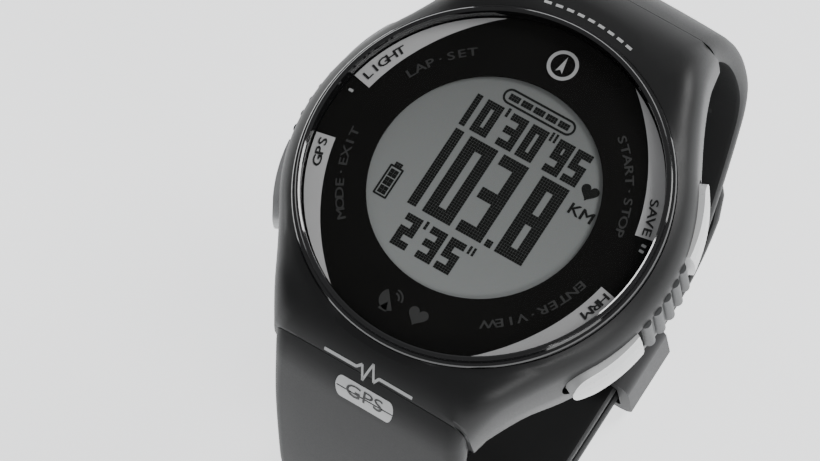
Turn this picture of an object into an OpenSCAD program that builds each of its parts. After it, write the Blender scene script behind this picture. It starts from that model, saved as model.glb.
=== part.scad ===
/* [Case] */
// Radius of the case over its shoulder
case_r = 22.7; // [21.5:0.1:28]
// Height from the bezel crown to the inside of the case back
case_h = 13.6; // [13:0.1:17]
// Thickness of the screwed case back
back_t = 1.8; // [1.4:0.1:3]
// Wall of the soft outer shell beside the inner case
shell_wall = 1.1; // [0.8:0.1:1.6]
// Wall of the hard inner case
inner_wall = 3; // [2.6:0.1:3.4]
// Distance from the case's side to the seam between shell and strap
lug_out = 2.6; // [2.4:0.1:5]
// Offset of the strap loop towards twelve o'clock
loop_shift = 1.5; // [0:0.1:1.6]
// Clearance between pieces that are fixed face to face
seat_gap = 0.05; // [0.02:0.01:0.1]

/* [Face] */
// Radius of the round display window
window_r = 12.75; // [10:0.05:13]
// Width of the gloss bezel ring
bezel_w = 1.15; // [0.9:0.05:1.5]
// Thickness of the lens
lens_t = 1.2; // [0.8:0.1:1.6]
// Depth of the lens below the bezel crown
lens_drop = 0.45; // [0.2:0.05:0.8]
// Radial width of the silver arcs at their blunt ends
arc_w = 2.2; // [1.4:0.1:2.6]

/* [Buttons] */
// Height of the side band that holds buttons and grips
band_h = 6.1; // [5.4:0.1:6.6]
// Angle of a button's centre from the three or nine o'clock line
button_angle = 24.5; // [23.5:0.1:27]
// Half of the angle that a button covers
button_half = 12; // [10:0.1:12.2]
// Travel of a button
button_travel = 0.6; // [0.3:0.05:0.65]
// Radius of a button's stem
stem_r = 0.9; // [0.7:0.05:1.1]
// Radial clearance of a stem in its bore
stem_gap = 0.05; // [0.03:0.01:0.1]
// Clearance around a button in the side band
button_gap = 0.2; // [0.15:0.05:0.3]
// Lobes on each side grip
grip_lobes = 5; // [3:1:5]

/* [Strap] */
// Width of the strap
strap_w = 24; // [20:0.5:25]
// Thickness of the strap
strap_t = 2.8; // [2.2:0.1:3.4]
// Gap between the two strap layers where they overlap
layer_gap = 0.2; // [0.1:0.05:0.4]
// Length of the adjustment holes
hole_l = 6.4; // [6:0.1:7.4]
// Width of the adjustment holes
hole_w = 2.6; // [2.2:0.1:3.4]
// Distance between adjustment holes
hole_pitch = 9; // [8.5:0.1:12]
// Radius of the pins that hold the strap on the case
pin_r = 0.75; // [0.6:0.05:0.9]

/* [Buckle] */
// Thickness of the buckle's side rails
rail_t = 2; // [1.6:0.1:2.6]
// Length of the buckle from its spring bar to its cross rail
buckle_l = 11.5; // [11:0.1:14]
// Radius of the prong
prong_r = 0.75; // [0.6:0.05:0.85]
// Width of the keeper along the strap
keeper_w = 8.6; // [6:0.1:9.4]
// Wall of the keeper
keeper_wall = 1.6; // [1.2:0.1:2]

/* [Hidden] */
$fn = 96;
eps = 0.01;

// Radii of the case, from the outside in
lug_reach = case_r + lug_out;
skin_r = case_r - shell_wall;
cavity_r = skin_r - inner_wall;
bezel_r = skin_r - 0.9;
lens_r = bezel_r - bezel_w;
shell_fit = 0.05;

// Levels of the case, measured down from the bezel crown
shoulder_z = -1;
band_top = -5.1;
band_bottom = band_top - band_h;
button_z = (band_top + band_bottom) / 2;
lens_bottom = -lens_drop - lens_t;
mask_t = 0.3;
arcs_t = 0.08;
mask_top = lens_bottom - arcs_t - 0.02;
mask_bottom = mask_top - mask_t;
gasket_t = 0.3;
ledge_z = mask_bottom - gasket_t - 0.02;
back_z = -case_h;
back_face = back_z - back_t;
pod_face = back_face - 1.2;

// Optical sensor and charging contacts on the back
pod_r = 8.6;
pod_neck_r = 6.5;
pod_bore_r = 5.8;
sensor_slot = [4.4, 9.6];
sensor_gap = 0.06;
contact_r = 0.9;
contact_pitch = 3;
contact_y = -12.6;
contact_spots = [for (i = [-1.5:1:1.5]) i * contact_pitch];

// Pieces of the module
lcd_w = 2 * window_r + 0.5;
lcd_t = 1.4;
lcd_top = mask_bottom - 0.05;
light_t = 0.8;
board_t = 0.8;
board_top = lcd_top - lcd_t - light_t - 1;
board_bottom = board_top - board_t;
board_r = cavity_r - 0.4;
switch_face = cavity_r - 1.8;
nub_l = 0.3;
boss_r = 1.9;
boss_angle = 53;
boss_at = cavity_r - boss_r + 0.5;
boss_top = board_bottom - 0.1;
boss_spots = [for (a = [boss_angle, 180 - boss_angle, 180 + boss_angle, -boss_angle]) a];
screw_r = 0.8;
battery_size = [20, 17, 4];
battery_top = board_bottom - 0.7;
antenna_r = cavity_r - 0.9;

// Buttons, named by the word beside each
button_spots = [180 - button_angle, 180 + button_angle, button_angle, -button_angle];
cap_inner = skin_r + 0.15 + button_travel;
// The caps are rounded about an axis off the case's own, so that they stand out at one end
cap_shift = 5.4;
cap_side = case_r - cap_shift + 0.75;
stem_end = switch_face + nub_l + button_travel + 0.1;
clip_t = 0.35;
seal_w = 0.8;
seal_r = stem_r + 0.65;
seal_at = (skin_r + cavity_r) / 2 + 0.3;

// Strap
half_w = strap_w / 2;
seam_half = half_w + 0.6;
crown = 0.35;
edge_thin = 1.2;
edge_seam = 2.2;
// Slope of the hood where the strap begins
start_slope = 1.07;
lug_half = 9;
lug_gap = 0.1;
lug_t = 3.4;
case_space_h = 20;
pin_y = lug_reach - 1.3;
pin_z = -9.2;
pin_half = half_w - 0.8;
hood_run = 6 * start_slope / 2;
strap_start = [lug_reach, -shoulder_z + hood_run];
start_angle = atan(start_slope);
// Each bend is its length and the angle that it turns
upper_drop = [[8, 25], [16, 18], [9, 28]];
upper_ends = [[16, 8], [7, 24], [5, 30]];
upper_bends = concat(upper_drop, upper_ends);
layer_step = strap_t + layer_gap;
// The lower half drops straighter and one layer deeper, so that it passes under the upper half
lower_drop = [[5, 28], [24, 4], [10, 39]];
lower_ends = [[4.5, 30], [3, 30]];
level_depth = depth_after(upper_bends) + layer_step;
straight_turn = 2;
straight_l = (level_depth - depth_after(concat(lower_drop, [[0, straight_turn]], lower_ends)))
    / sin(start_angle + total_turn(lower_drop) + straight_turn / 2);
lower_bends = concat(lower_drop, [[straight_l, straight_turn]], lower_ends);
upper_curve = total(upper_bends);
lower_curve = total(lower_bends);
flat_end = frame_at(upper_bends, upper_curve);
lower_flat = frame_at(lower_bends, lower_curve);
inner_end_y = -(lower_flat[0] - 0.5);
upper_len = upper_curve + flat_end[0] - inner_end_y;
layer_out = flat_end[1];
tail_out = layer_out + layer_step;
keeper_gap = 0.3;
total_h = tail_out + keeper_gap + keeper_wall;

// Tail that lies under the upper strap
tail_flat = lower_flat[0] + flat_end[0];
tail_end = 8;
tail_bends = concat(lower_bends, [[tail_flat, 0]],
    [for (i = [2:-1:0]) [arc_grown(upper_ends[i][0], upper_ends[i][1]), upper_ends[i][1]]]);
tail_len = total(tail_bends) - upper_ends[0][0] + tail_end;
bar_y = inner_end_y + 1.6;
bar_z = layer_out - strap_t / 2;
bar_r = 0.7;
bar_gap = 0.05;
prong_hole_at = lower_curve - 6.8;
hole_count = 4;
rail_drop = -1.7;
rail_gap = 0.35;
cross_y = bar_y - buckle_l;
cross_z = bar_z + rail_drop;
rail_l = norm([buckle_l, rail_drop]);
rail_tilt = atan2(rail_drop, buckle_l);
cross_r = 1.1;
eye_r = 1.3;
rail_h = 1.8;
keeper_y = 2.3;

function total(bends, i = 0) = i == len(bends) ? 0 : bends[i][0] + total(bends, i + 1);
function total_turn(bends, i = 0) = i == len(bends) ? 0 : bends[i][1] + total_turn(bends, i + 1);
function depth_after(bends) = frame_at(bends, total(bends))[1];
function arc_grown(l, turn) = l + layer_step * turn * PI / 180;
// Place and heading after the distance s along bends, with the depth counted down
function step_on(p, a, l, turn) = turn == 0
    ? [p[0] + l * cos(a), p[1] + l * sin(a)]
    : let (r = l / (turn * PI / 180))
        [p[0] + r * (sin(a + turn) - sin(a)), p[1] + r * (cos(a) - cos(a + turn))];
function frame_at(bends, s, i = 0, p = strap_start, a = start_angle) =
    i == len(bends) || s <= bends[i][0]
    ? let (l = i == len(bends) ? 1 : max(bends[i][0], 0.001), t = i == len(bends) ? 0 : bends[i][1],
           q = step_on(p, a, s, t * s / l)) [q[0], q[1], a + t * s / l]
    : frame_at(bends, s - bends[i][0], i + 1,
        step_on(p, a, bends[i][0], bends[i][1]), a + bends[i][1]);

// Depth of the outer face below its middle, at side distance x on a strap w wide to a side:
// a low crown and an edge rounded to the radius e
function edge_drop(x, w, e) = let (d = max(0, w - x))
    crown * x * x / (w * w) + (d < e ? e - sqrt(max(0, e * e - (e - d) * (e - d))) : 0);
function edge_x(w, e, k) = k < 4 ? (w - e) * k / 4 : w - e + e * sin(18 * (k - 4));
// Outline of the strap across its width, as side distance and depth from the outer face
function strap_section(w, t, e) = let (half = [for (k = [1:9]) [edge_x(w, e, k),
            edge_drop(edge_x(w, e, k), w, e)]],
        low = [[w, max(t - 0.6, e + crown + 0.05)], [w - 0.2, t - 0.15], [w - 0.7, t]])
    concat([[0, 0]], half, low, [[0, t]],
        [for (i = [2:-1:0]) [-low[i][0], low[i][1]]],
        [for (i = [8:-1:0]) [-half[i][0], half[i][1]]]);
function thick_at(s) = strap_t + 1.4 * pow(max(0, 1 - max(0, s) / 14), 2);
function edge_at(s) = edge_thin + (edge_seam - edge_thin) * pow(max(0, 1 - max(0, s) / 16), 1.5);
function wide_at(s) = half_w + (seam_half - half_w) * pow(max(0, 1 - max(0, s) / 6), 2);
function tip_half(s, l) = let (left = l - s, r = 9)
    left >= r ? wide_at(s) : half_w - r + sqrt(max(0.04, r * r - (r - left) * (r - left)));

// Solid swept along a strap's bends
module strap_sweep(bends, l, round_tip) {
    steps = ceil(l / 1.6);
    tip = round_tip ? [for (k = [1:6]) l - 9 * pow(1 - k / 6.3, 2)] : [];
    base = [for (k = [0:steps]) -5 + (l + 5) * k / steps];
    stations = round_tip ? concat([for (s = base) if (s < l - 9) s], tip) : base;
    rings = [for (s = stations) let (f = frame_at(bends, s),
        w = round_tip ? tip_half(s, l) : wide_at(s))
        [for (q = strap_section(w, thick_at(s), edge_at(s)))
            [q[0], f[0] - q[1] * sin(f[2]), -(f[1] - q[1] * cos(f[2]))
                - 2 * q[1] * cos(f[2])]]];
    n = len(rings[0]);
    m = len(rings);
    faces = concat([[for (j = [0:n - 1]) j]],
        [for (i = [0:m - 2], j = [0:n - 1])
            each [[i * n + j, (i + 1) * n + j, (i + 1) * n + (j + 1) % n],
                [i * n + j, (i + 1) * n + (j + 1) % n, i * n + (j + 1) % n]]],
        [[for (j = [n - 1:-1:0]) (m - 1) * n + j]]);
    polyhedron([for (r = rings) each r], faces, convexity = 8);
}

// Oblong hole through a strap, square to its face
module strap_hole(bends, s) {
    f = frame_at(bends, s);
    translate([0, f[0], -f[1]])
        rotate([-f[2], 0, 0])
            translate([0, 0, -6])
                linear_extrude(12) slot(hole_w, hole_l);
}

module slot(w, l) {
    square([w, l - w], center = true);
    for (e = [-1, 1])
        translate([0, e * (l - w) / 2]) circle(d = w, $fn = 32);
}

module at_loop() {
    translate([0, loop_shift, total_h]) children();
}

module at_case() {
    translate([0, 0, total_h]) children();
}

module disc(r, top, bottom) {
    translate([0, 0, bottom]) cylinder(r = r, h = top - bottom);
}

module ring(r_out, r_in, top, bottom) {
    difference() {
        disc(r_out, top, bottom);
        disc(r_in, top + 1, bottom - 1);
    }
}

module each_at(angles, r) {
    for (a = angles)
        rotate([0, 0, a]) translate([r, 0, 0]) children();
}

// Cylinder that points outward along X at the height of the buttons
module radial_pin(r, from, to) {
    translate([from, 0, button_z]) rotate([0, 90, 0]) cylinder(r = r, h = to - from, $fn = 48);
}

module side_pin(r, half) {
    translate([-half, 0, 0]) rotate([0, 90, 0]) cylinder(r = r, h = 2 * half, $fn = 48);
}

// Shell: half width of its outline at each distance y from the middle, a circle and then a curve
// that runs into the strap
leave_y = case_r * 0.57;
leave_w = sqrt(case_r * case_r - leave_y * leave_y);
function outline_half(y) = let (b = abs(y)) b <= leave_y ? sqrt(case_r * case_r - b * b)
    : let (l = lug_reach - leave_y, t = min(1, (b - leave_y) / l), q = 1 - t)
        leave_w * q * q * (1 + 2 * t) - 0.6 * l * t * q * q
        + seam_half * t * t * (3 - 2 * t) + 0.35 * l * t * t * q;
corner_a = atan2(lug_reach, seam_half);
function rim_search(a, low, high, n) = let (m = (low + high) / 2)
    n == 0 ? m : m * cos(a) > outline_half(m * sin(a))
        ? rim_search(a, low, m, n - 1) : rim_search(a, m, high, n - 1);
function rim_r(a) = a >= corner_a - 0.001 ? lug_reach / sin(a)
    : rim_search(a, case_r * 0.9, lug_reach / sin(max(a, 40)), 24);
// Height of the shell's top at a point: it falls towards the strap, and its edge is rounded
fall_start = lug_reach - 6;
edge_side = 4;
function top_z(x, y) = let (
        t = max(0, y - fall_start), slope = start_slope * t / 6,
        w = outline_half(y), k = pow(min(1, y / lug_reach), 3),
        lean = y < leave_y ? w / case_r : 0.84 + 0.1 * (y - leave_y) / (lug_reach - leave_y),
        e = edge_side + (edge_seam - edge_side) * k, d = max(0, w - x) * (1 + (lean - 1) * (1 - k)))
    shoulder_z - start_slope * t * t / 12 - sqrt(1 + slope * slope)
        * (crown * k * x * x / (w * w) + (d < e ? e - sqrt(max(0, e * e - (e - d) * (e - d))) : 0));
skirt_z = back_z + 0.3;
hood_z = skirt_z + 1.5;
// Steps of a quarter of the outline, with steps at the strap's corner and at the tongue's pocket
pocket_a = atan2(lug_reach, lug_half + lug_gap);
corner_step = 21;
quarter_steps = concat([for (i = [0:corner_step]) corner_a * i / corner_step],
    [(corner_a + pocket_a) / 2, pocket_a - 0.02, pocket_a],
    [for (i = [1:6]) pocket_a + (90 - pocket_a) * i / 6]);
quarter = len(quarter_steps) - 1;
bore_slack = cos((90 - pocket_a) / 12);
bezel_bore = (bezel_r + shell_fit) / bore_slack;
case_bore = (skin_r + shell_fit) / bore_slack;
function foot_z(a) = a >= pocket_a ? pin_z + lug_t / 2 + lug_gap
    : let (t = min(1, max(0, (a - 38) / 14))) skirt_z + (hood_z - skirt_z) * t * t * (3 - 2 * t);
// Cross-section of the shell at an angle of its first quarter, as radius and height
function shell_ring(a) = let (ro = rim_r(a), zo = top_z(ro * cos(a), ro * sin(a)),
        zf = foot_z(a), out = a >= corner_a - 0.001, inward = out ? 0.02 : 0.5,
        zw = out ? (zo + zf) / 2 : min(zo - 1.2, (zo + zf) / 2))
    concat([for (i = [0:9]) let (r = bezel_bore + (ro - bezel_bore) * (1 - pow(1 - i / 9, 1.6)))
            [r, top_z(r * cos(a), r * sin(a))]],
        [[ro, zw], [ro - inward, zf + 0.5], [ro - inward - 0.35, zf],
         [case_bore, zf], [case_bore, ledge_z + 0.02], [bezel_bore, ledge_z + 0.02]]);

// The outer edge of the shell is carried towards twelve o'clock with the strap; its bores are not
function shifted(r, y) = r <= case_bore ? y
    : y + loop_shift * pow(min(1, abs(y) / lug_reach), 3);

module shell_body() {
    count = 4 * quarter;
    first = [for (a = quarter_steps) shell_ring(a)];
    rings = [for (i = [0:count - 1]) let (q = floor(i / quarter), j = i % quarter,
            k = q % 2 == 0 ? j : quarter - j, a = q * 90 + (q % 2 == 0 ? 0 : 90)
                + (q % 2 == 0 ? 1 : -1) * quarter_steps[k])
        [for (p = first[k]) [p[0] * cos(a), shifted(p[0], p[0] * sin(a)), p[1]]]];
    n = len(rings[0]);
    faces = [for (i = [0:count - 1], j = [0:n - 1]) let (k = (i + 1) % count, l = (j + 1) % n)
        each [[i * n + j, k * n + j, k * n + l], [i * n + j, k * n + l, i * n + l]]];
    polyhedron([for (r = rings) each r], faces, convexity = 10);
}

module band_sector(half_angle, r_out, top, bottom) {
    reach = r_out / cos(half_angle);
    intersection() {
        disc(r_out, top, bottom);
        translate([0, 0, bottom])
            linear_extrude(top - bottom)
                polygon([[0, 0], [reach * cos(half_angle), reach * sin(half_angle)],
                    [reach * cos(half_angle), -reach * sin(half_angle)]]);
    }
}

// Outline of the opening or cap seen from outside: square by the grip and round at the far end
module button_outline(grow) {
    near = -cap_inner * sin(button_half) - grow;
    far = cap_inner * sin(button_half) + grow;
    round_r = band_h / 2 - button_gap + grow;
    translate([near, -round_r]) square([far - near - round_r, 2 * round_r]);
    translate([far - round_r, 0]) circle(r = round_r, $fn = 64);
}

// Opening through both side walls that holds the buttons and grips
band_reach = (skin_r + 1.3) * sin(button_angle) + cap_inner * sin(button_half) * cos(button_angle)
    + button_gap;
module band_opening() {
    translate([-case_r - 4, 0, button_z]) rotate([90, 0, 90]) linear_extrude(2 * case_r + 8) {
        square([2 * band_reach - band_h, band_h], center = true);
        for (e = [-1, 1]) translate([e * (band_reach - band_h / 2), 0]) circle(d = band_h);
    }
}

// Prism through the side wall at one button; side is 1 when the far end lies at the higher angle
module button_prism(grow, side, from, to) {
    translate([from, 0, button_z])
        rotate([90, 0, 90])
            linear_extrude(to - from) mirror([side < 0 ? 1 : 0, 0]) button_outline(grow);
}

function far_side(a) = a == 180 - button_angle || a == -button_angle ? -1 : 1;

module case_shell() color([0.13, 0.13, 0.13]) at_case() difference() {
    shell_body();
    band_opening();
    for (e = [-1, 1])
        translate([0, e * pin_y + loop_shift, pin_z]) side_pin(pin_r + 0.02, pin_half);
}

module inner_case() color([0.09, 0.09, 0.1]) at_case() difference() {
    union() {
        ring(skin_r, cavity_r, ledge_z, back_z);
        each_at(boss_spots, boss_at) disc(boss_r, boss_top, back_z + 0.15);
    }
    each_at(boss_spots, boss_at) disc(screw_r - 0.05, back_z + 5, back_z - 1);
    for (a = button_spots) rotate([0, 0, a]) {
        radial_pin(stem_r + stem_gap, cavity_r - 1, skin_r + 1);
        radial_pin(seal_r + 0.02, seal_at - seal_w / 2 - 0.02, seal_at + seal_w / 2 + 0.02);
    }
    ring(cavity_r + 1.6, cavity_r + 0.8, back_z + 0.6, back_z - 1);
}

module bezel_ring() color([0.03, 0.03, 0.03]) at_case() rotate_extrude()
    polygon([[lens_r + seat_gap, ledge_z + seat_gap], [bezel_r, ledge_z + seat_gap],
        [bezel_r, -0.95], [bezel_r - 0.12, -0.75], [bezel_r - 0.42, -0.68],
        [bezel_r - 0.5, -0.12], [bezel_r - 0.62, 0], [lens_r + 0.3, 0],
        [lens_r + 0.12, -0.12], [lens_r + seat_gap, -0.5]]);

module lens() color([0.2, 0.22, 0.24]) at_case() rotate_extrude()
    polygon([[0, lens_bottom], [lens_r, lens_bottom], [lens_r, -lens_drop - 0.15],
        [lens_r - 0.15, -lens_drop], [0, -lens_drop]]);

module lens_gasket() color([0.2, 0.2, 0.2]) at_case()
    ring(lens_r - 0.1, cavity_r + 0.1, mask_bottom, ledge_z);

module dial_mask() color([0.05, 0.05, 0.05]) at_case()
    ring(lens_r - 0.05, window_r, mask_top, mask_bottom);

// Tapered crescent from a blunt end to a point, on the outer edge of the dial
module dial_arc() {
    outer = lens_r - 0.1;
    start = 11.2;
    finish = 65;
    count = 20;
    outer_pts = [for (i = [0:count]) let (a = start + (finish - start) * i / count)
        outer * [cos(a), sin(a)]];
    inner_pts = [for (i = [count - 1:-1:0]) let (t = i / count, a = start + (finish - start) * t)
        (outer - arc_w * (1 - pow(t, 2.2))) * [cos(a), sin(a)]];
    linear_extrude(arcs_t) polygon(concat(outer_pts, inner_pts));
}

module dial_arcs() color([0.75, 0.75, 0.75]) at_case() translate([0, 0, mask_top])
    for (sx = [0, 1], sy = [0, 1])
        mirror([sx, 0, 0]) mirror([0, sy, 0]) dial_arc();

module lcd_panel() color([0.5, 0.52, 0.5]) at_case() intersection() {
    disc(cavity_r - 0.25, lcd_top, lcd_top - lcd_t);
    translate([-lcd_w / 2, -lcd_w / 2, lcd_top - lcd_t]) cube([lcd_w, lcd_w, lcd_t]);
}

module backlight() color([0.9, 0.95, 0.9]) at_case() translate([0, 0, lcd_top - lcd_t - 0.05 - light_t])
    linear_extrude(light_t) square(2 * window_r, center = true);

module module_frame() color([0.15, 0.15, 0.16]) at_case() difference() {
    disc(cavity_r - 0.1, lcd_top, board_top + 0.05);
    translate([-lcd_w / 2 - 0.05, -lcd_w / 2 - 0.05, board_top + 0.9])
        cube([lcd_w + 0.1, lcd_w + 0.1, 20]);
    ring(antenna_r + 0.45, antenna_r - 0.05, 1, board_top + 0.5);
    disc(8, 1, board_top - 1);
}

module main_pcb() color([0.05, 0.3, 0.15]) at_case() disc(board_r, board_top, board_bottom);

module gps_antenna() color([0.8, 0.65, 0.3]) at_case() rotate([0, 0, 62])
    translate([0, 0, board_top + 0.52]) rotate_extrude(angle = 56)
        translate([antenna_r, 0]) square([0.4, lcd_top - board_top - 0.6]);

module tact_switches() color([0.7, 0.7, 0.72]) at_case() for (a = button_spots) rotate([0, 0, a]) {
    translate([switch_face - 1.6, -2.1, button_z - 1.4])
        cube([1.6, 4.2, board_bottom - button_z + 1.4]);
    radial_pin(0.6, switch_face - eps, switch_face + nub_l);
}

module battery() color([0.75, 0.75, 0.78]) at_case()
    translate([-battery_size[0] / 2, -battery_size[1] / 2, battery_top - battery_size[2]])
        cube(battery_size);

module buzzer() color([0.8, 0.7, 0.4]) at_case() translate([0, 11.8, 0]) {
    disc(4.3, back_z + 0.3, back_z);
    disc(3, back_z + 0.5, back_z + 0.3 - eps);
}

module back_gasket() color([0.25, 0.25, 0.25]) at_case()
    ring(cavity_r + 1.58, cavity_r + 0.82, back_z + 0.58, back_z);

module case_back() color([0.2, 0.2, 0.21]) at_case() difference() {
    rotate_extrude() polygon([[0, back_z], [skin_r - 0.2, back_z], [skin_r - 0.2, back_z - 0.7],
        [skin_r - 1.3, back_face], [0, back_face]]);
    disc(pod_neck_r + 0.1, 0, -30);
    each_at(boss_spots, boss_at) {
        disc(screw_r + 0.1, 0, -30);
        disc(screw_r + 0.75, back_face + 0.9, -30);
    }
    for (x = contact_spots) translate([x, contact_y, 0]) disc(contact_r + 0.02, 0, -30);
}

module back_screws() color([0.7, 0.7, 0.72]) at_case() each_at(boss_spots, boss_at) difference() {
    union() {
        disc(screw_r - 0.05, back_z + 3.6, back_face + 0.5);
        disc(screw_r + 0.65, back_face + 0.9, back_face + 0.15);
    }
    for (q = [0, 90]) rotate([0, 0, q])
        translate([-0.9, -0.17, back_face - 1]) cube([1.8, 0.34, 1.55]);
}

module sensor_pod() color([0.07, 0.07, 0.07]) at_case() difference() {
    union() {
        disc(pod_neck_r, back_z + 0.4, back_face);
        rotate_extrude() polygon([[0, back_face], [pod_r, back_face], [pod_r - 0.2, back_face - 0.5],
            [pod_r - 1.2, pod_face + 0.15], [pod_r - 1.6, pod_face], [0, pod_face]]);
    }
    disc(pod_bore_r, 0, back_face - 0.2);
    translate([0, 0, pod_face - 1]) linear_extrude(4) rotate([0, 0, 90]) slot(sensor_slot[0], sensor_slot[1]);
}

module sensor_window() color([0.1, 0.25, 0.15]) at_case()
    translate([0, 0, pod_face + 0.1]) linear_extrude(0.9) rotate([0, 0, 90])
        slot(sensor_slot[0] - sensor_gap, sensor_slot[1] - sensor_gap);

module sensor_board() color([0.05, 0.3, 0.15]) at_case() disc(pod_bore_r - 0.2, back_z + 0.3, back_z - 0.3);

module heart_leds() color([0.3, 0.9, 0.4]) at_case() for (e = [-1, 1])
    translate([e * 3.4 - 0.8, -0.8, back_z - 1.1]) cube([1.6, 1.6, 0.8]);

module photodiode() color([0.15, 0.15, 0.2]) at_case()
    translate([-1.4, -1.4, back_z - 1]) cube([2.8, 2.8, 0.7]);

module charge_contacts() color([0.85, 0.7, 0.3]) at_case() for (x = contact_spots)
    translate([x, contact_y, 0]) disc(contact_r, back_z + 0.6, back_face - 0.2);

module side_grip() {
    half_a = button_angle - button_half - 1.5;
    pitch = 2 * (half_a - 1.9) / (grip_lobes - 1);
    difference() {
        band_sector(half_a, skin_r + 0.9, band_top - 0.1, band_bottom + 0.1);
        disc(skin_r + shell_fit, 0, -20);
    }
    for (i = [0:grip_lobes - 1])
        rotate([0, 0, -half_a + 1.9 + i * pitch]) translate([skin_r + 0.8, 0, 0])
            disc(0.7, band_top - 0.1, band_bottom + 0.1);
}

module grip_right() color([0.4, 0.4, 0.4]) at_case() side_grip();
module grip_left() color([0.4, 0.4, 0.4]) at_case() rotate([0, 0, 180]) side_grip();

module button_seals() color([0.3, 0.3, 0.3]) at_case() for (a = button_spots) rotate([0, 0, a])
    difference() {
        radial_pin(seal_r, seal_at - seal_w / 2, seal_at + seal_w / 2);
        radial_pin(stem_r + 0.03, 0, 30);
    }

module button_cap(a) color([0.85, 0.85, 0.85]) at_case() rotate([0, 0, a]) difference() {
    intersection() {
        button_prism(0, far_side(a), cavity_r, case_r + 6);
        rotate([0, 0, far_side(a) * 8]) translate([cap_shift, 0, button_z]) rotate_extrude()
            polygon([[0, -4], [cap_side, -4], [cap_side, -2.6], [cap_side + 0.25, -1.4],
                [cap_side + 0.32, 0], [cap_side + 0.25, 1.4], [cap_side, 2.6], [cap_side, 4],
                [0, 4]]);
    }
    disc(cap_inner, 0, -20);
    radial_pin(stem_r, 0, cap_inner + 0.5);
}

module button_stem(a) color([0.75, 0.75, 0.75]) at_case() rotate([0, 0, a]) difference() {
    radial_pin(stem_r, stem_end, cap_inner + 0.48);
    difference() {
        radial_pin(stem_r + 1, stem_end + 0.3, stem_end + 0.3 + clip_t);
        radial_pin(stem_r - 0.25, stem_end, 30);
    }
}

module button_clip(a) color([0.6, 0.6, 0.6]) at_case() rotate([0, 0, a]) difference() {
    radial_pin(stem_r + 0.6, stem_end + 0.32, stem_end + 0.28 + clip_t);
    radial_pin(stem_r - 0.23, 0, 30);
    translate([0, -0.35, button_z - 3]) cube([30, 0.7, 3]);
}

module cap_light() button_cap(button_spots[0]);
module stem_light() button_stem(button_spots[0]);
module clip_light() button_clip(button_spots[0]);
module cap_mode() button_cap(button_spots[1]);
module stem_mode() button_stem(button_spots[1]);
module clip_mode() button_clip(button_spots[1]);
module cap_start() button_cap(button_spots[2]);
module stem_start() button_stem(button_spots[2]);
module clip_start() button_clip(button_spots[2]);
module cap_enter() button_cap(button_spots[3]);
module stem_enter() button_stem(button_spots[3]);
module clip_enter() button_clip(button_spots[3]);

// Tongue at the end of a strap half, which narrows inward inside the shell's hood
module strap_lug() {
    inner = skin_r + loop_shift + 0.2;
    outer = lug_reach + 1.2;
    wall = 1 - case_bore / norm([lug_reach, lug_half + lug_gap]);
    side = wall * (lug_half + lug_gap) / (wall * lug_reach - loop_shift);
    inner_half = lug_half - (lug_reach - inner) * side;
    translate([0, 0, pin_z - lug_t / 2]) linear_extrude(lug_t)
        polygon([[inner_half, inner], [lug_half, lug_reach], [lug_half, outer],
            [-lug_half, outer], [-lug_half, lug_reach], [-inner_half, inner]]);
}

// Space of the case, which the swept strap is cut away from
module case_space() {
    translate([-2 * half_w, -lug_reach, -case_space_h])
        cube([4 * half_w, 2 * lug_reach + seat_gap, case_space_h]);
}

module strap_upper() color([0.13, 0.13, 0.13]) at_loop() difference() {
    union() {
        difference() {
            strap_sweep(upper_bends, upper_len, false);
            case_space();
        }
        strap_lug();
    }
    translate([0, pin_y, pin_z]) side_pin(pin_r + 0.02, 20);
    translate([0, bar_y, -bar_z]) side_pin(bar_r + bar_gap, 20);
    translate([-1.6, inner_end_y - 2, -layer_out - 1]) cube([3.2, 4.9, strap_t + 2]);
}

module strap_lower() color([0.13, 0.13, 0.13]) at_loop() mirror([0, 1, 0]) difference() {
    union() {
        difference() {
            strap_sweep(tail_bends, tail_len, true);
            case_space();
        }
        strap_lug();
    }
    translate([0, pin_y, pin_z]) side_pin(pin_r + 0.02, 20);
    for (i = [0:hole_count - 1]) strap_hole(tail_bends, prong_hole_at + (i - 1) * hole_pitch);
}

module strap_pin() translate([0, pin_y, pin_z]) side_pin(pin_r, pin_half - 0.1);
module strap_pin_upper() color([0.7, 0.7, 0.7]) at_loop() strap_pin();
module strap_pin_lower() color([0.7, 0.7, 0.7]) at_loop() mirror([0, 1, 0]) strap_pin();

module buckle_frame() color([0.12, 0.12, 0.12]) at_loop() difference() {
    union() {
        translate([0, bar_y, -bar_z]) side_pin(eye_r, half_w + rail_gap + rail_t - 0.15);
        translate([0, cross_y, -cross_z]) side_pin(cross_r, half_w + rail_gap + rail_t - 0.15);
        translate([0, bar_y, -bar_z]) rotate([rail_tilt, 0, 0])
            for (e = [-1, 1]) translate([e > 0 ? half_w + rail_gap : -half_w - rail_gap - rail_t,
                -rail_l, -rail_h / 2]) cube([rail_t, rail_l, rail_h]);
    }
    translate([-half_w - rail_gap, bar_y - 3, -bar_z - 3]) cube([2 * (half_w + rail_gap), 6, 6]);
    translate([0, bar_y, -bar_z]) side_pin(bar_r + 0.02, half_w + rail_gap + 1.2);
}

module buckle_bar() color([0.7, 0.7, 0.7]) at_loop()
    translate([0, bar_y, -bar_z]) side_pin(bar_r, half_w + rail_gap + 1.1);

// The prong leans over the cross rail and rests just clear of it
prong_rest = 0.1;
prong_tilt = rail_tilt + asin((cross_r + prong_r + prong_rest) / rail_l);
prong_l = rail_l + 1.2;
module buckle_prong() color([0.7, 0.7, 0.7]) at_loop() difference() {
    union() {
        translate([0, bar_y, -bar_z]) side_pin(1.25, 1.3);
        translate([0, bar_y, -bar_z]) rotate([90 + prong_tilt, 0, 0])
            rotate_extrude($fn = 32) polygon([[0, 0], [prong_r, 0], [prong_r, prong_l - 0.9],
                [prong_r * 0.75, prong_l - 0.3], [prong_r * 0.35, prong_l], [0, prong_l]]);
    }
    translate([0, bar_y, -bar_z]) side_pin(bar_r + bar_gap, 5);
}

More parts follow.
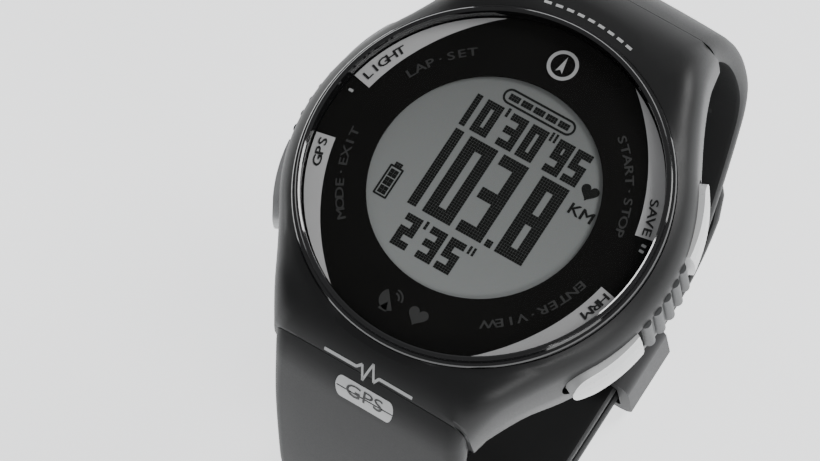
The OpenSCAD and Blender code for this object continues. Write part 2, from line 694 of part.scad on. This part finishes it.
module strap_keeper() color([0.25, 0.25, 0.25]) at_loop() {
    out_x = half_w + keeper_gap + keeper_wall;
    top = -(layer_out - strap_t - keeper_gap - keeper_wall);
    translate([0, keeper_y + keeper_w / 2, 0]) rotate([90, 0, 0]) linear_extrude(keeper_w)
        difference() {
            rounded_box(out_x, top, -total_h, 2);
            rounded_box(out_x - keeper_wall, top - keeper_wall, -total_h + keeper_wall, 0.6);
        }
}

module rounded_box(half, top, bottom, r) {
    translate([-half + r, bottom]) square([2 * (half - r), top - bottom]);
    translate([-half, bottom + r]) square([2 * half, top - bottom - 2 * r]);
    for (x = [-half + r, half - r], z = [bottom + r, top - r])
        translate([x, z]) circle(r = r, $fn = 48);
}

case_shell();
inner_case();
bezel_ring();
lens();
lens_gasket();
dial_mask();
dial_arcs();
lcd_panel();
backlight();
module_frame();
main_pcb();
gps_antenna();
tact_switches();
battery();
buzzer();
back_gasket();
case_back();
back_screws();
sensor_pod();
sensor_window();
sensor_board();
heart_leds();
photodiode();
charge_contacts();
grip_right();
grip_left();
button_seals();
cap_light();
stem_light();
clip_light();
cap_mode();
stem_mode();
clip_mode();
cap_start();
stem_start();
clip_start();
cap_enter();
stem_enter();
clip_enter();
strap_upper();
strap_lower();
strap_pin_upper();
strap_pin_lower();
buckle_frame();
buckle_prong();
buckle_bar();
strap_keeper();
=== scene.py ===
import math

import bmesh
import bpy
from mathutils import Matrix, Vector
from mathutils.bvhtree import BVHTree


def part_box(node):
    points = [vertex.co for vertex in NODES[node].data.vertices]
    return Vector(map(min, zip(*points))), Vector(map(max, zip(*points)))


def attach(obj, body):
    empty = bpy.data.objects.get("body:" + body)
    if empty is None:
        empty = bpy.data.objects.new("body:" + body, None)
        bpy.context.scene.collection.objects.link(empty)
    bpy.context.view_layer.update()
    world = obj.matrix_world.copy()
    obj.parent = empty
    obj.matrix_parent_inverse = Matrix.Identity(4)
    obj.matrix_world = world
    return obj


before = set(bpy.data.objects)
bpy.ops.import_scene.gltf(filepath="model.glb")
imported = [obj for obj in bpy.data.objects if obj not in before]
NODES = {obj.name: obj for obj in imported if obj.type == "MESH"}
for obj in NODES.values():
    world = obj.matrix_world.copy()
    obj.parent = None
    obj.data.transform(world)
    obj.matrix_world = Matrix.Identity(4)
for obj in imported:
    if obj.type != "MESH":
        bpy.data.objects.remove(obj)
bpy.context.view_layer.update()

MM = 0.001
scene = bpy.context.scene

# Levels and radii of the face, read from the frame
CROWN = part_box("bezel_ring")[1].z
MASK_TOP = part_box("dial_mask")[1].z
LCD_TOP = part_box("lcd_panel")[1].z
WINDOW_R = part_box("backlight")[1].x

# Print on the dial, in millimetres: radii of the words on the arcs, of the words on the mask and of
# the ticks, and the height of a letter
ARC_WORD_R = 18.35
MASK_WORD_R = 15.55
TICK_R = 18.6
LETTER_H = 0.95
# Angle between two faces above which a moulded edge stays sharp
SHARP_DEGREES = 34


# ---------- camera, floor and light ----------

def add_camera():
    """Camera at the photograph's viewing angle, about 45 cm from the dial."""
    right = Vector((0.8346, 0.536, -0.1256)).normalized()
    down = Vector((0.4715, -0.813, -0.3405))
    down = (down - right * right.dot(down)).normalized()
    ahead = right.cross(down)
    distance = 0.45
    centre = Vector((0, 0, LCD_TOP))
    place = centre - ahead * distance - right * 0.00794 + down * 0.00462
    data = bpy.data.cameras.new("camera")
    data.sensor_width = 36
    data.lens = 184.7
    data.clip_start = 0.01
    data.clip_end = 20
    camera = bpy.data.objects.new("camera", data)
    axes = Matrix((right, -down, -ahead)).transposed()
    camera.matrix_world = Matrix.Translation(place) @ axes.to_4x4()
    scene.collection.objects.link(camera)
    scene.camera = camera


def area_light(name, place, target, size, power, size_y=None):
    data = bpy.data.lights.new(name, "AREA")
    data.energy = power
    data.shape = "RECTANGLE"
    data.size = size
    data.size_y = size_y or size
    lamp = bpy.data.objects.new(name, data)
    lamp.location = place
    lamp.rotation_euler = (Vector(target) - Vector(place)).to_track_quat("-Z", "Y").to_euler()
    scene.collection.objects.link(lamp)


def add_light():
    """Even pale surround, a high soft box beyond twelve o'clock and a weaker one on each side."""
    world = bpy.data.worlds.new("studio")
    world.use_nodes = True
    shade = world.node_tree.nodes["Background"]
    shade.inputs["Color"].default_value = (0.97, 0.98, 1.0, 1)
    shade.inputs["Strength"].default_value = 0.3
    scene.world = world
    face = (0, 0, CROWN)
    area_light("key", (0.5, 0.75, 0.6), face, 0.5, 8.0, 0.35)
    area_light("side", (0.8, -0.35, 0.5), face, 0.4, 4.0, 0.25)
    area_light("left", (-0.8, 0.25, 0.2), face, 0.3, 2.2, 0.15)


def add_floor():
    bm = bmesh.new()
    bmesh.ops.create_grid(bm, x_segments=24, y_segments=24, size=3)
    floor = new_object("floor", bm)
    floor.data.materials.append(floor_material())


# ---------- helpers ----------

def new_object(name, bm):
    mesh = bpy.data.meshes.new(name)
    bm.to_mesh(mesh)
    bm.free()
    obj = bpy.data.objects.new(name, mesh)
    scene.collection.objects.link(obj)
    return obj


def place_piece(obj, body, material):
    obj.data.materials.clear()
    obj.data.materials.append(material)
    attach(obj, body)


def polar(radius, degrees, z=0.0):
    a = math.radians(degrees)
    return Vector((radius * math.cos(a), radius * math.sin(a), z))


# ---------- materials ----------

def node_material(name):
    mat = bpy.data.materials.new(name)
    mat.use_nodes = True
    tree = mat.node_tree
    return mat, tree, tree.nodes["Principled BSDF"]


def link(tree, a, out, b, socket):
    tree.links.new(a.outputs[out], b.inputs[socket])


def textured(name, base, rough, grain=0.1, grain_scale=4000.0, tone=0.12, tone_scale=120.0, bump=0.1,
             rough_spread=0.08, **sockets):
    """Moulded material: slow change of tone, fine grain in the bump and uneven roughness."""
    mat, tree, shader = node_material(name)
    coords = tree.nodes.new("ShaderNodeTexCoord")
    slow = tree.nodes.new("ShaderNodeTexNoise")
    slow.inputs["Scale"].default_value = tone_scale
    slow.inputs["Detail"].default_value = 4
    fine = tree.nodes.new("ShaderNodeTexNoise")
    fine.inputs["Scale"].default_value = grain_scale
    fine.inputs["Detail"].default_value = 3
    link(tree, coords, "Object", slow, "Vector")
    link(tree, coords, "Object", fine, "Vector")
    ramp = tree.nodes.new("ShaderNodeValToRGB")
    ramp.color_ramp.elements[0].position = 0.3
    ramp.color_ramp.elements[1].position = 0.7
    low = [c * (1 - tone) for c in base]
    high = [min(1, c * (1 + tone)) for c in base]
    ramp.color_ramp.elements[0].color = (*low, 1)
    ramp.color_ramp.elements[1].color = (*high, 1)
    link(tree, slow, "Fac", ramp, "Fac")
    link(tree, ramp, "Color", shader, "Base Color")
    spread = tree.nodes.new("ShaderNodeMapRange")
    spread.inputs["To Min"].default_value = max(0.02, rough - rough_spread)
    spread.inputs["To Max"].default_value = min(1, rough + rough_spread)
    link(tree, fine, "Fac", spread, "Value")
    link(tree, spread, "Result", shader, "Roughness")
    if bump:
        relief = tree.nodes.new("ShaderNodeBump")
        relief.inputs["Strength"].default_value = bump
        relief.inputs["Distance"].default_value = grain * MM
        link(tree, fine, "Fac", relief, "Height")
        link(tree, relief, "Normal", shader, "Normal")
    for key, value in sockets.items():
        shader.inputs[key.replace("_", " ").title().replace("Ior", "IOR")].default_value = value
    return mat


def floor_material():
    return textured("floor_paper", (0.8, 0.805, 0.81), 0.9, tone=0.006, tone_scale=2.0, bump=0.02,
                    grain_scale=900.0, emission_color=(0.95, 0.96, 0.97, 1), emission_strength=1.5,
                    specular_ior_level=0.1)


def glass_material():
    """Clear hard-coated lens: it lets nearly all light straight through and keeps a faint gloss."""
    mat, tree, shader = node_material("lens_glass")
    shader.inputs["Base Color"].default_value = (0.02, 0.02, 0.02, 1)
    shader.inputs["Alpha"].default_value = 0.06
    shader.inputs["Specular IOR Level"].default_value = 0.2
    coords = tree.nodes.new("ShaderNodeTexCoord")
    haze = tree.nodes.new("ShaderNodeTexNoise")
    haze.inputs["Scale"].default_value = 500
    spread = tree.nodes.new("ShaderNodeMapRange")
    spread.inputs["To Min"].default_value = 0.04
    spread.inputs["To Max"].default_value = 0.1
    link(tree, coords, "Object", haze, "Vector")
    link(tree, haze, "Fac", spread, "Value")
    link(tree, spread, "Result", shader, "Roughness")
    return mat


def lcd_material():
    """Grey reflective display with painted shade, darker towards twelve o'clock and a little lighter
    towards six o'clock, with a very fine pixel grid.
    """
    mat, tree, shader = node_material("lcd_grey")
    coords = tree.nodes.new("ShaderNodeTexCoord")
    split = tree.nodes.new("ShaderNodeSeparateXYZ")
    link(tree, coords, "Object", split, "Vector")
    # painted shade: the display's grey is darkened towards twelve o'clock, where the ring's shadow falls
    shade_gradient = tree.nodes.new("ShaderNodeMapRange")
    shade_gradient.inputs["From Min"].default_value = -WINDOW_R
    shade_gradient.inputs["From Max"].default_value = WINDOW_R
    link(tree, split, "Y", shade_gradient, "Value")
    ramp = tree.nodes.new("ShaderNodeValToRGB")
    ramp.color_ramp.elements[0].color = (0.30, 0.315, 0.31, 1)
    ramp.color_ramp.elements[1].color = (0.20, 0.21, 0.205, 1)
    link(tree, shade_gradient, "Result", ramp, "Fac")
    grain = tree.nodes.new("ShaderNodeTexNoise")
    grain.inputs["Scale"].default_value = 6000
    link(tree, coords, "Object", grain, "Vector")
    mix = tree.nodes.new("ShaderNodeMix")
    mix.data_type = "RGBA"
    mix.blend_type = "MULTIPLY"
    mix.inputs["Factor"].default_value = 0.15
    tree.links.new(ramp.outputs["Color"], mix.inputs[6])
    tree.links.new(grain.outputs["Color"], mix.inputs[7])
    tree.links.new(mix.outputs[2], shader.inputs["Base Color"])
    shader.inputs["Roughness"].default_value = 0.5
    return mat


def brushed(name, base, rough, metallic=1.0):
    mat = textured(name, base, rough, tone=0.08, grain_scale=2500.0, bump=0.08, grain=0.05)
    mat.node_tree.nodes["Principled BSDF"].inputs["Metallic"].default_value = metallic
    return mat


MATERIALS = {
    "soft": textured("soft_touch_black", (0.015, 0.0152, 0.0154), 0.43, grain=0.03, grain_scale=5200.0,
                     tone=0.1, bump=0.1, specular_ior_level=0.28),
    "strap": textured("strap_rubber", (0.013, 0.0132, 0.0134), 0.45, grain=0.03, grain_scale=5200.0,
                      tone=0.1, bump=0.12, specular_ior_level=0.14),
    "keeper": textured("keeper_rubber", (0.032, 0.032, 0.033), 0.5, grain=0.03, tone=0.1, bump=0.15,
                       specular_ior_level=0.3),
    "gloss": textured("bezel_gloss_black", (0.006, 0.006, 0.0063), 0.07, tone=0.2, bump=0.01,
                      rough_spread=0.02, coat_weight=0.6),
    "mask": textured("mask_print_black", (0.0062, 0.0061, 0.0056), 0.6, tone=0.15, bump=0.02,
                     specular_ior_level=0.05),
    "silver": textured("arc_silver_print", (0.60, 0.60, 0.60), 0.42, tone=0.03, grain_scale=7000.0,
                       bump=0.03, metallic=0.15),
    "cap": textured("button_pale_grey", (0.66, 0.665, 0.665), 0.3, tone=0.02, bump=0.02, metallic=0.1),
    "grip": textured("grip_grey_rubber", (0.075, 0.077, 0.078), 0.55, grain=0.05, tone=0.12, bump=0.3),
    "plastic": textured("case_plastic", (0.02, 0.02, 0.021), 0.45, grain=0.05, tone=0.12, bump=0.2),
    "back": textured("back_plastic", (0.03, 0.03, 0.031), 0.4, grain=0.05, tone=0.12, bump=0.25),
    "pod": textured("pod_gloss", (0.01, 0.01, 0.011), 0.15, tone=0.15, bump=0.02),
    "gasket": textured("gasket_rubber", (0.03, 0.03, 0.03), 0.6, tone=0.1, bump=0.1),
    "board": textured("board_green", (0.02, 0.11, 0.055), 0.4, tone=0.25, tone_scale=900.0, bump=0.1),
    "plate": textured("light_plate", (0.8, 0.83, 0.8), 0.5, tone=0.03, bump=0.02),
    "led": textured("led_green", (0.1, 0.7, 0.25), 0.25, tone=0.1, bump=0.02),
    "diode": textured("diode_dark", (0.02, 0.02, 0.05), 0.2, tone=0.1, bump=0.02),
    "window": textured("window_dark_glass", (0.012, 0.022, 0.018), 0.06, tone=0.1, bump=0.0,
                       rough_spread=0.02, coat_weight=1.0),
    "steel": brushed("steel_brushed", (0.58, 0.58, 0.6), 0.3),
    "foil": brushed("battery_foil", (0.66, 0.66, 0.68), 0.35),
    "brass": brushed("contact_gold", (0.8, 0.62, 0.28), 0.25),
    "buckle": textured("buckle_black_paint", (0.02, 0.02, 0.0205), 0.33, tone=0.1, bump=0.08,
                       metallic=0.3),
    "segment": textured("lcd_segment", (0.013, 0.014, 0.013), 0.6, tone=0.08, bump=0.0,
                        specular_ior_level=0.1),
    "dim": textured("print_dim_grey", (0.034, 0.035, 0.034), 0.5, tone=0.05, bump=0.0),
    "ink": textured("print_black", (0.006, 0.006, 0.006), 0.5, tone=0.05, bump=0.0),
    "white": textured("print_light", (0.45, 0.455, 0.455), 0.45, tone=0.03, bump=0.0),
    # painted shade: near-black for the shade inside the strap's cross furrows
    "groove_shade": textured("groove_shadow", (0.004, 0.004, 0.004), 0.7, tone=0.1, bump=0.0),
    "glass": glass_material(),
    "lcd": lcd_material(),
}

NODE_MATERIALS = {
    "case_shell": "soft", "inner_case": "plastic", "bezel_ring": "gloss", "lens": "glass",
    "lens_gasket": "gasket", "dial_mask": "mask", "dial_arcs": "silver", "lcd_panel": "lcd",
    "backlight": "plate", "module_frame": "plastic", "main_pcb": "board", "gps_antenna": "brass",
    "tact_switches": "steel", "battery": "foil", "buzzer": "brass", "back_gasket": "gasket",
    "case_back": "back", "back_screws": "steel", "sensor_pod": "pod", "sensor_window": "window",
    "sensor_board": "board", "heart_leds": "led", "photodiode": "diode",
    "charge_contacts": "brass", "grip_right": "grip", "grip_left": "grip",
    "button_seals": "gasket", "strap_upper": "strap", "strap_lower": "strap",
    "strap_pin_upper": "steel", "strap_pin_lower": "steel", "buckle_frame": "buckle",
    "buckle_prong": "steel", "buckle_bar": "steel", "strap_keeper": "keeper",
}
for word in ("light", "mode", "start", "enter"):
    NODE_MATERIALS["cap_" + word] = "cap"
    NODE_MATERIALS["stem_" + word] = "steel"
    NODE_MATERIALS["clip_" + word] = "steel"

BEVELS = {"bezel_ring": 0.05, "case_back": 0.12, "buckle_frame": 0.25, "strap_keeper": 0.3,
          "cap_light": 0.35, "cap_mode": 0.35, "cap_start": 0.35, "cap_enter": 0.35,
          "grip_right": 0.15, "grip_left": 0.15, "sensor_pod": 0.1, "back_screws": 0.06,
          "inner_case": 0.05}

MOULDED = ("case_shell", "strap_upper", "strap_lower")


def smooth_by_angle(obj):
    """Smooth shading, with an edge kept sharp where the surface turns sharply."""
    for poly in obj.data.polygons:
        poly.use_smooth = True
    weld = obj.modifiers.new("weld", "WELD")
    weld.merge_threshold = 0.002 * MM
    split = obj.modifiers.new("split", "EDGE_SPLIT")
    split.split_angle = math.radians(SHARP_DEGREES)


def dress_nodes():
    """Gives every CAD node its material, and a small rounding where the real edge is moulded."""
    for name, obj in NODES.items():
        obj.data.materials.clear()
        obj.data.materials.append(MATERIALS[NODE_MATERIALS[name]])
        for poly in obj.data.polygons:
            poly.material_index = 0
        if name in MOULDED:
            smooth_by_angle(obj)
        if name in BEVELS:
            bevel = obj.modifiers.new("edge", "BEVEL")
            bevel.width = BEVELS[name] * MM
            bevel.segments = 3
            bevel.limit_method = "ANGLE"
            bevel.angle_limit = math.radians(40)
            bevel.harden_normals = False


# ---------- flat printed marks ----------

def flat_mesh(bm, outline, z):
    """Adds one flat face with its front towards +Z."""
    face = bm.faces.new([bm.verts.new((x, y, z)) for x, y in outline])
    face.normal_update()
    if face.normal.z < 0:
        face.normal_flip()
    return face


def box_pixels(bm, x0, y0, x1, y1, z, pitch=0.31, gap=0.018):
    """A filled block of display pixels."""
    nx = max(1, round((x1 - x0) / pitch))
    ny = max(1, round((y1 - y0) / pitch))
    dx, dy = (x1 - x0) / nx, (y1 - y0) / ny
    for i in range(nx):
        for j in range(ny):
            a, b = x0 + i * dx, y0 + j * dy
            flat_mesh(bm, [(a * MM, b * MM), ((a + dx - gap) * MM, b * MM),
                           ((a + dx - gap) * MM, (b + dy - gap) * MM), (a * MM, (b + dy - gap) * MM)], z)


# Strokes of each figure: top, middle, bottom, then left and right above and below the middle
FIGURES = {
    "0": "tblLrR", "1": "rR", "2": "tmbrL", "3": "tmbrR", "5": "tmblR", "8": "tmblLrR", "9": "tmblrR",
}


def figure(bm, mark, x, y, w, h, s, z):
    """One squared figure of width w and height h with strokes s wide, its lower left corner at x, y."""
    half = h / 2
    bars = {
        "t": (x, y + h - s, x + w, y + h), "m": (x, y + half - s / 2, x + w, y + half + s / 2),
        "b": (x, y, x + w, y + s),
        "l": (x, y + half + s / 2, x + s, y + h - s), "L": (x, y + s, x + s, y + half - s / 2),
        "r": (x + w - s, y + half + s / 2, x + w, y + h - s),
        "R": (x + w - s, y + s, x + w, y + half - s / 2),
    }
    strokes = FIGURES[mark]
    if "m" not in strokes:
        side = (y + s, y + h - s)
        bars["l"], bars["L"] = (x, side[0], x + s, side[1]), None
        bars["r"], bars["R"] = (x + w - s, side[0], x + w, side[1]), None
    if mark == "1":
        bars["r"] = (x, y, x + w, y + h)
    for stroke in strokes:
        if bars[stroke]:
            box_pixels(bm, *bars[stroke], z)


def heart_outline(x, y, size, count=40):
    points = []
    for i in range(count):
        t = 2 * math.pi * i / count
        hx = 16 * math.sin(t) ** 3
        hy = 13 * math.cos(t) - 5 * math.cos(2 * t) - 2 * math.cos(3 * t) - math.cos(4 * t)
        points.append(((x + hx * size / 32) * MM, (y + (hy + 2) * size / 32) * MM))
    return points


def rounded_outline(x0, y0, x1, y1, r, count=8):
    points = []
    for cx, cy, start in ((x1 - r, y1 - r, 0), (x0 + r, y1 - r, 90), (x0 + r, y0 + r, 180),
                          (x1 - r, y0 + r, 270)):
        for i in range(count + 1):
            a = math.radians(start + 90 * i / count)
            points.append(((cx + r * math.cos(a)) * MM, (cy + r * math.sin(a)) * MM))
    return points


def outline_ring(bm, outer, inner, z):
    a = [bm.verts.new((x, y, z)) for x, y in outer]
    b = [bm.verts.new((x, y, z)) for x, y in inner]
    for i in range(len(a)):
        j = (i + 1) % len(a)
        face = bm.faces.new((a[i], a[j], b[j], b[i]))
        face.normal_update()
        if face.normal.z < 0:
            face.normal_flip()


def add_display():
    """The figures and marks that the display shows."""
    z = LCD_TOP + 0.02 * MM
    bm = bmesh.new()
    # bar of five blocks in a rounded frame
    outline_ring(bm, rounded_outline(-3.95, 9.35, 5.05, 11.2, 0.9),
                 rounded_outline(-3.7, 9.6, 4.8, 10.95, 0.66), z)
    for i in range(5):
        box_pixels(bm, -3.2 + i * 1.56, 9.9, -3.2 + i * 1.56 + 1.3, 10.65, z, 0.33)
    # time row
    row = (4.8, 4.05, 0.86)
    for mark, x, w in (("1", -6.35, 0.72), ("0", -5.0, 2.1), ("3", -1.75, 2.0), ("0", 0.75, 2.1),
                       ("9", 4.2, 1.95), ("5", 6.5, 1.95)):
        figure(bm, mark, x, row[0], w, row[1], row[2], z)
    box_pixels(bm, -2.5, 8.0, -2.15, 9.1, z)
    for x in (3.1, 3.6):
        box_pixels(bm, x, 8.0, x + 0.3, 9.1, z)
    # distance row
    for mark, x, w in (("1", -6.3, 1.1), ("0", -4.4, 3.55), ("3", -0.15, 3.2), ("8", 4.75, 3.45)):
        figure(bm, mark, x, -5.6, w, 9.9, 1.34, z)
    box_pixels(bm, 3.45, -5.6, 4.25, -4.75, z)
    # lower time row
    for mark, x, w in (("2", -5.5, 1.95), ("3", -2.35, 1.95), ("5", 0.05, 1.95)):
        figure(bm, mark, x, -10.4, w, 3.95, 0.86, z)
    box_pixels(bm, -3.2, -7.3, -2.85, -6.3, z)
    for x in (2.35, 2.85):
        box_pixels(bm, x, -7.3, x + 0.3, -6.3, z)
    # battery with three blocks
    outline_ring(bm, rounded_outline(-10.2, -6.5, -8.5, -2.7, 0.15),
                 rounded_outline(-9.98, -6.28, -8.72, -2.92, 0.05), z)
    box_pixels(bm, -9.8, -2.7, -8.9, -2.2, z)
    for i in range(3):
        box_pixels(bm, -9.85, -6.15 + i * 1.05, -8.85, -5.2 + i * 1.05, z, 0.5)
    flat_mesh(bm, heart_outline(10.1, 5.0, 2.1), z)
    marks = new_object("display_marks", bm)
    place_piece(marks, "watch", MATERIALS["segment"])
    unit = flat_text("display_unit", "KM", 1.3, 1.2)
    unit.data.transform(Matrix.Translation((10.6 * MM, 2.6 * MM, z)))
    place_piece(unit, "watch", MATERIALS["segment"])


def flat_text(name, text, height, stretch, weight=0.022):
    """Bold text as a flat mesh centred on the origin, height in millimetres."""
    curve = bpy.data.curves.new(name, "FONT")
    curve.body = text
    curve.align_x = "CENTER"
    curve.align_y = "CENTER"
    curve.resolution_u = 3
    obj = bpy.data.objects.new(name, curve)
    scene.collection.objects.link(obj)
    bpy.context.view_layer.update()
    letter = bpy.data.meshes.new_from_object(obj.evaluated_get(bpy.context.evaluated_depsgraph_get()))
    bpy.data.objects.remove(obj)
    size = height * MM / 0.72
    bm = bmesh.new()
    for i, (dx, dy) in enumerate(((0, 0), (-1, 0), (1, 0), (0, 0.7), (0, -0.7))):
        copy = letter.copy()
        copy.transform(Matrix.Translation((dx * weight, dy * weight, 0)))
        copy.transform(Matrix.Diagonal((size * stretch, size, 1, 1)))
        copy.transform(Matrix.Translation((0, 0, i * 0.004 * MM)))
        bm.from_mesh(copy)
        bpy.data.meshes.remove(copy)
    return new_object(name, bm)


def curved_text(name, text, radius, middle, step, z, material, stretch):
    """Letters printed on the dial along a circle, read clockwise with their tops outward; step is
    the degrees that a letter takes."""
    count = len(text)
    pieces = []
    for i, letter in enumerate(text):
        if letter == " ":
            continue
        angle = middle - (i - (count - 1) / 2) * step
        piece = flat_text(name + "_part", letter, LETTER_H, stretch)
        turn = Matrix.Rotation(math.radians(angle - 90), 4, "Z")
        piece.data.transform(Matrix.Translation(polar(radius * MM, angle, z)) @ turn)
        pieces.append(piece)
    bm = bmesh.new()
    for piece in pieces:
        bm.from_mesh(piece.data)
        bpy.data.objects.remove(piece)
    obj = new_object(name, bm)
    place_piece(obj, "watch", material)


def add_dial_print():
    """Words of the buttons on the dial, with ticks and icons."""
    on_arc = MASK_TOP + 0.13 * MM
    on_mask = MASK_TOP + 0.05 * MM
    for name, word, middle in (("light", "LIGHT", 158.8), ("gps", "GPS", 197.3), ("save", "SAVE", 18.6),
                               ("heart", "HRM", -17.6)):
        curved_text("word_" + name, word, ARC_WORD_R, middle, 3.45, on_arc, MATERIALS["ink"], 1.5)
    for name, word, middle in (("lap", "LAP·SET", 140), ("mode", "MODE·EXIT", 204),
                               ("start", "START·STOP", 30), ("enter", "ENTER·VIEW", -36)):
        curved_text("word_" + name, word, MASK_WORD_R, middle, 4.4, on_mask, MATERIALS["dim"], 1.45)
    bm = bmesh.new()
    for a in (6.6, 173.4, 8.6):
        p = polar(TICK_R, a)
        flat_mesh(bm, rounded_outline(p.x - 0.28, p.y - 0.16, p.x + 0.28, p.y + 0.16, 0.1, 3), on_mask)
    ticks = new_object("dial_ticks", bm)
    place_piece(ticks, "watch", MATERIALS["white"])
    bm = bmesh.new()
    flat_mesh(bm, heart_outline(1.75, -16.1, 2.3), on_mask)
    dish = [polar(1.25, a) + Vector((-1.75, -15.9, 0)) for a in range(130, 315, 12)]
    flat_mesh(bm, [(p.x * MM, p.y * MM) for p in dish], on_mask)
    for r in (0.75, 1.15):
        arc = [(polar(r, a) + Vector((-1.6, -15.6, 0))) for a in range(0, 91, 15)]
        back = [(polar(r - 0.2, a) + Vector((-1.6, -15.6, 0))) for a in range(90, -1, -15)]
        flat_mesh(bm, [(p.x * MM, p.y * MM) for p in arc + back], on_mask)
    foot = [(-1.85, -16.2), (-1.4, -17.3), (-2.5, -17.3)]
    flat_mesh(bm, [(x * MM, y * MM) for x, y in foot], on_mask)
    icons = new_object("dial_icons", bm)
    place_piece(icons, "watch", MATERIALS["dim"])
    # plain compass mark: a ring with a needle
    bm = bmesh.new()
    centre = Vector((0, 16, 0))
    ring = [polar(1.75, a) + centre for a in range(0, 360, 8)]
    hole = [polar(1.35, a) + centre for a in range(0, 360, 8)]
    outline_ring(bm, [(p.x * MM, p.y * MM) for p in ring], [(p.x * MM, p.y * MM) for p in hole], on_mask)
    needle = [(0, 17.1), (0.42, 15.1), (0, 15.45), (-0.42, 15.1)]
    flat_mesh(bm, [(x * MM, y * MM) for x, y in needle], on_mask)
    mark = new_object("compass_mark", bm)
    place_piece(mark, "watch", MATERIALS["white"])


# ---------- marks on the shell ----------

def node_tree(name):
    cad = NODES[name].data
    return BVHTree.FromPolygons([v.co for v in cad.vertices], [tuple(p.vertices) for p in cad.polygons])


def drape(obj, trees, lift=0.03):
    """Lays a flat mesh on the highest of the CAD surfaces under it, keeping its own layers apart."""
    for vert in obj.data.vertices:
        layer = vert.co.z
        hits = [tree.ray_cast(Vector((vert.co.x, vert.co.y, CROWN + 0.01)), Vector((0, 0, -1)))
                for tree in trees]
        hits = [hit for hit in hits if hit[0]]
        if hits:
            best = max(hits, key=lambda hit: hit[0].z)
            vert.co = best[0] + best[1] * (lift * MM + layer)


def strip(bm, points, width):
    """A thin flat band along points, in millimetres."""
    for (xa, ya), (xb, yb) in zip(points, points[1:]):
        a, b = Vector((xa, ya, 0)), Vector((xb, yb, 0))
        side = (b - a).cross(Vector((0, 0, 1))).normalized() * width / 2
        flat_mesh(bm, [(p.x * MM, p.y * MM) for p in (a + side, b + side, b - side, a - side)], 0)


def fine_grid(bm, step):
    """Cuts a flat mesh into small faces so that it can follow a curved surface."""
    lows = [min(v.co[k] for v in bm.verts) for k in (0, 1)]
    highs = [max(v.co[k] for v in bm.verts) for k in (0, 1)]
    for k in (0, 1):
        place = lows[k] + step
        while place < highs[k]:
            point = Vector((0, 0, 0))
            point[k] = place
            normal = Vector((0, 0, 0))
            normal[k] = 1
            bmesh.ops.bisect_plane(bm, geom=bm.verts[:] + bm.edges[:] + bm.faces[:], plane_co=point,
                                   plane_no=normal)
            place += step


def add_shell_marks():
    """Plain pulse line and a pill with a generic word at six o'clock, short dashes at twelve."""
    trees = [node_tree("case_shell"), node_tree("strap_lower"), node_tree("strap_upper")]
    bm = bmesh.new()
    pulse = [(-5.6, -23.5), (-1.5, -23.5), (-0.9, -23.1), (-0.4, -24.3), (0.3, -22.6), (0.9, -24.0),
             (1.4, -23.5), (5.6, -23.5)]
    strip(bm, pulse, 0.26)
    for i in range(9):
        x = -5.2 + i * 1.3
        y = math.sqrt(21.9 ** 2 - x * x)
        strip(bm, [(x - 0.4, y), (x + 0.4, y - 0.8 * x / y)], 0.34)
    fine_grid(bm, 0.4 * MM)
    line = new_object("pulse_mark", bm)
    drape(line, trees)
    place_piece(line, "watch", MATERIALS["white"])
    bm = bmesh.new()
    flat_mesh(bm, rounded_outline(-3.35, -26.2, 3.95, -24.75, 0.72, 10), 0)
    fine_grid(bm, 0.4 * MM)
    pill = new_object("pill_mark", bm)
    drape(pill, trees)
    place_piece(pill, "watch", MATERIALS["white"])
    word = flat_text("pill_word", "GPS", 0.85, 2.4, 0.0)
    word.data.transform(Matrix.Translation((0.3 * MM, -25.48 * MM, 0.02 * MM)))
    bm = bmesh.new()
    bm.from_mesh(word.data)
    fine_grid(bm, 0.3 * MM)
    bm.to_mesh(word.data)
    bm.free()
    drape(word, trees)
    place_piece(word, "watch", MATERIALS["ink"])


def add_groove_shade_strips():
    """Dark strips of painted shade across the inner face of the strap's twelve o'clock half, where its
    moulded cross furrows lie.
    """
    tree = node_tree("strap_upper")
    bm = bmesh.new()
    half = 8.6
    # painted shade: each band is a flat dark strip laid on the inner face where a furrow's shade falls
    for drop in (20.5, 24.8, 29.0, 33.2, 37.4, 41.6):
        z = CROWN - drop * MM
        for i in range(24):
            corners = []
            for x, dz in ((i, 0.3), (i + 1, 0.3), (i + 1, -0.3), (i, -0.3)):
                side = (-half + x * 2 * half / 24) * MM
                hit = tree.ray_cast(Vector((side, 0, z + dz * MM)), Vector((0, 1, 0)))
                if hit[0]:
                    corners.append(hit[0] + Vector((0, -0.03 * MM, 0)))
            if len(corners) == 4:
                bm.faces.new([bm.verts.new(c) for c in corners])
    shade_strips = new_object("strap_groove_shade", bm)
    place_piece(shade_strips, "watch", MATERIALS["groove_shade"])


add_camera()
add_light()
add_floor()
dress_nodes()
add_display()
add_dial_print()
add_shell_marks()
add_groove_shade_strips()
